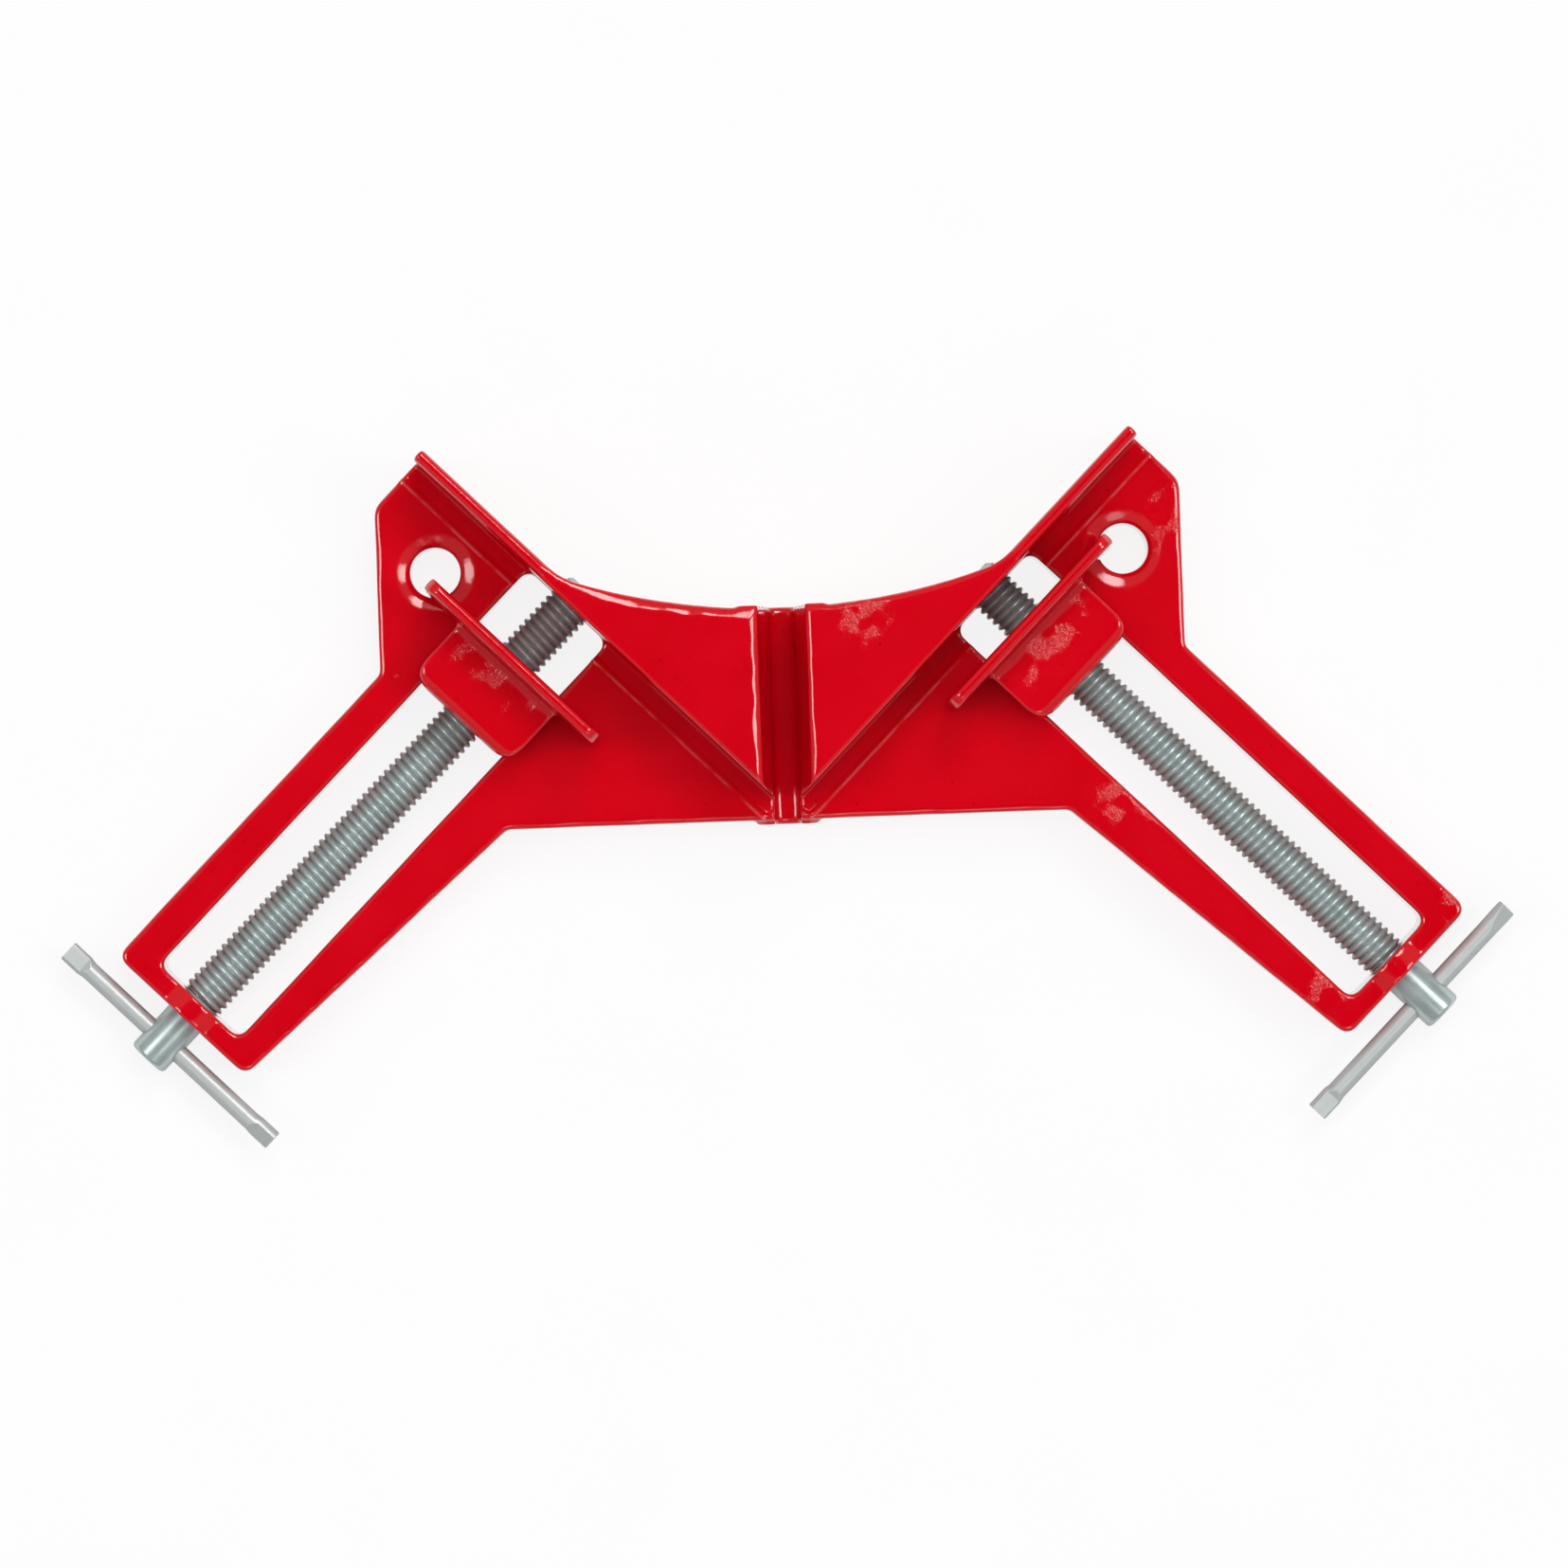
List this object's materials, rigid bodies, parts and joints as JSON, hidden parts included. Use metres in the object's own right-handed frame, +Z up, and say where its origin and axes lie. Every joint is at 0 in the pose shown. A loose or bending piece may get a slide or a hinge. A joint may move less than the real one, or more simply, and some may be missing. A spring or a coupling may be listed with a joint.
{
  "type": "corner clamp",
  "caption": "Cast right-angle corner clamp: tall fences, a saw channel at the corner, and sliding jaws driven by lead screws with tommy bars.",
  "frame": {"origin": "the corner where the two fence faces meet, on the underside that rests on the bench", "axes": "+X along the right fence towards its ear, +Y along the left fence towards its ear, +Z up; the arms run towards -Y and -X"},
  "size_m": [0.142, 0.142, 0.024],
  "materials": {
    "red_enamel": "gloss",
    "zinc_plate": "satin",
    "bright_steel": "satin"
  },
  "bodies": {
    "frame": {"frame": "red_enamel"},
    "left_jaw": {"left_jaw": "red_enamel"},
    "right_jaw": {"right_jaw": "red_enamel"},
    "left_screw": {"left_screw": "zinc_plate"},
    "right_screw": {"right_screw": "zinc_plate"},
    "left_tommy_bar": {"left_tommy_bar": "bright_steel"},
    "right_tommy_bar": {"right_tommy_bar": "bright_steel"}
  },
  "joints": [
    {"name": "left_screw_turn", "type": "hinge", "parent": "frame", "child": "left_screw", "pos_m": [-0.04, 0.03775, 0.005], "axis": [-1, 0, 0], "range_deg": [-3170, 17210]},
    {"name": "right_screw_turn", "type": "hinge", "parent": "frame", "child": "right_screw", "pos_m": [0.03775, -0.04, 0.005], "axis": [0, -1, 0], "range_deg": [-1802, 18578]},
    {"name": "left_jaw_slide", "type": "slide", "parent": "frame", "child": "left_jaw", "axis": [-1, 0, 0], "range_m": [-0.0088, 0.0478]},
    {"name": "right_jaw_slide", "type": "slide", "parent": "frame", "child": "right_jaw", "axis": [0, -1, 0], "range_m": [-0.005, 0.0516]},
    {"name": "left_bar_slide", "type": "slide", "parent": "left_screw", "child": "left_tommy_bar", "axis": [0, 1, 0], "range_m": [-0.0103, 0.0123]},
    {"name": "right_bar_slide", "type": "slide", "parent": "right_screw", "child": "right_tommy_bar", "axis": [1, 0, 0], "range_m": [-0.0088, 0.0138]}
  ],
  "couplings": [
    {"joint": "left_screw_turn", "follows": "left_jaw_slide", "rad_per_m": 6283.2},
    {"joint": "right_screw_turn", "follows": "right_jaw_slide", "rad_per_m": 6283.2}
  ]
}
